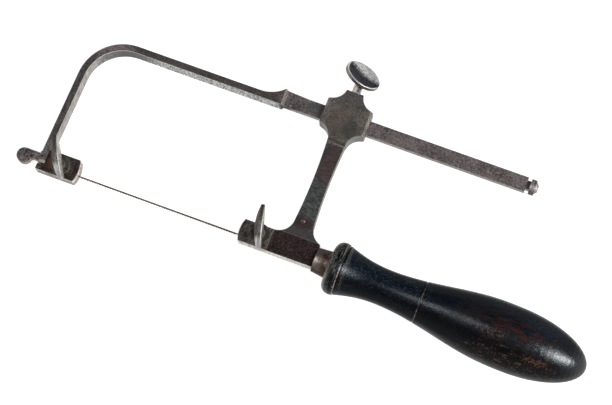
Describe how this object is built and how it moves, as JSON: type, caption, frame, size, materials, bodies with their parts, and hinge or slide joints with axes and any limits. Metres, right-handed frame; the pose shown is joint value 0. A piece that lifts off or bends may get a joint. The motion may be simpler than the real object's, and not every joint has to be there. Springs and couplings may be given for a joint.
{
  "type": "fret saw",
  "caption": "Adjustable fret saw: flat bow on a sliding block with thumb screw, stem and arm, two screw clamps for the blade, and a turned wooden handle.",
  "frame": {"origin": "where the blade leaves the rear jaw, on the blade's middle plane", "axes": "+X along the blade toward the handle, +Y from the blade toward the bar, +Z out of the side face on which the clamp screws stand"},
  "size_m": [0.3048, 0.1265, 0.0469],
  "materials": {
    "dark_iron": "dark patina, worn bright on the inner faces",
    "brown_iron": "dark brown patina",
    "screw_steel": "aged bright steel",
    "rusty_iron": "light rust",
    "blade_steel": "brown with light rust",
    "brass": "dull",
    "ebonised_wood": "black polish, worn"
  },
  "bodies": {
    "handle_and_arm": {"rear_stem": "dark_iron", "rear_arm": "brown_iron", "stem_pin": "dark_iron", "collar": "rusty_iron", "handle": "ebonised_wood"},
    "sliding_bow": {"bow": "dark_iron", "end_stop": "dark_iron", "blade": "blade_steel"},
    "shoe": {"bar_shoe": "brass"},
    "block_thumb_screw": {"block_screw": "screw_steel"},
    "front_clamp": {"front_plate": "brown_iron", "front_washer": "rusty_iron"},
    "front_thumb_screw": {"front_screw": "screw_steel"},
    "rear_clamp": {"rear_plate": "brown_iron", "rear_washer": "rusty_iron"},
    "rear_thumb_screw": {"rear_screw": "screw_steel"}
  },
  "joints": [
    {"name": "bow_slide", "type": "slide", "parent": "handle_and_arm", "child": "sliding_bow", "axis": [-1, 0, 0], "range_m": [-0.008, 0.086]},
    {"name": "shoe_lift", "type": "slide", "parent": "handle_and_arm", "child": "shoe", "axis": [0, 1, 0], "range_m": [0, 0.0014]},
    {"name": "block_screw_turn", "type": "hinge", "parent": "shoe", "child": "block_thumb_screw", "pos_m": [0.0298, 0.085, 0], "axis": [0, 1, 0], "range_deg": [0, 721]},
    {"name": "front_plate_lift", "type": "slide", "parent": "sliding_bow", "child": "front_clamp", "axis": [0, 0, 1], "range_m": [0, 0.00105]},
    {"name": "front_screw_turn", "type": "hinge", "parent": "front_clamp", "child": "front_thumb_screw", "pos_m": [-0.09642, 0.00172, 0.005], "axis": [0, 0, 1], "range_deg": [0, 541]},
    {"name": "rear_plate_lift", "type": "slide", "parent": "handle_and_arm", "child": "rear_clamp", "axis": [0, 0, 1], "range_m": [0, 0.00105]},
    {"name": "rear_screw_turn", "type": "hinge", "parent": "rear_clamp", "child": "rear_thumb_screw", "pos_m": [0.01063, 0.00366, 0.005], "axis": [0, 0, 1], "range_deg": [0, 541]}
  ],
  "couplings": [
    {"joint": "block_screw_turn", "follows": "shoe_lift", "rad_per_m": 8976},
    {"joint": "front_screw_turn", "follows": "front_plate_lift", "rad_per_m": 8976},
    {"joint": "rear_screw_turn", "follows": "rear_plate_lift", "rad_per_m": 8976}
  ]
}
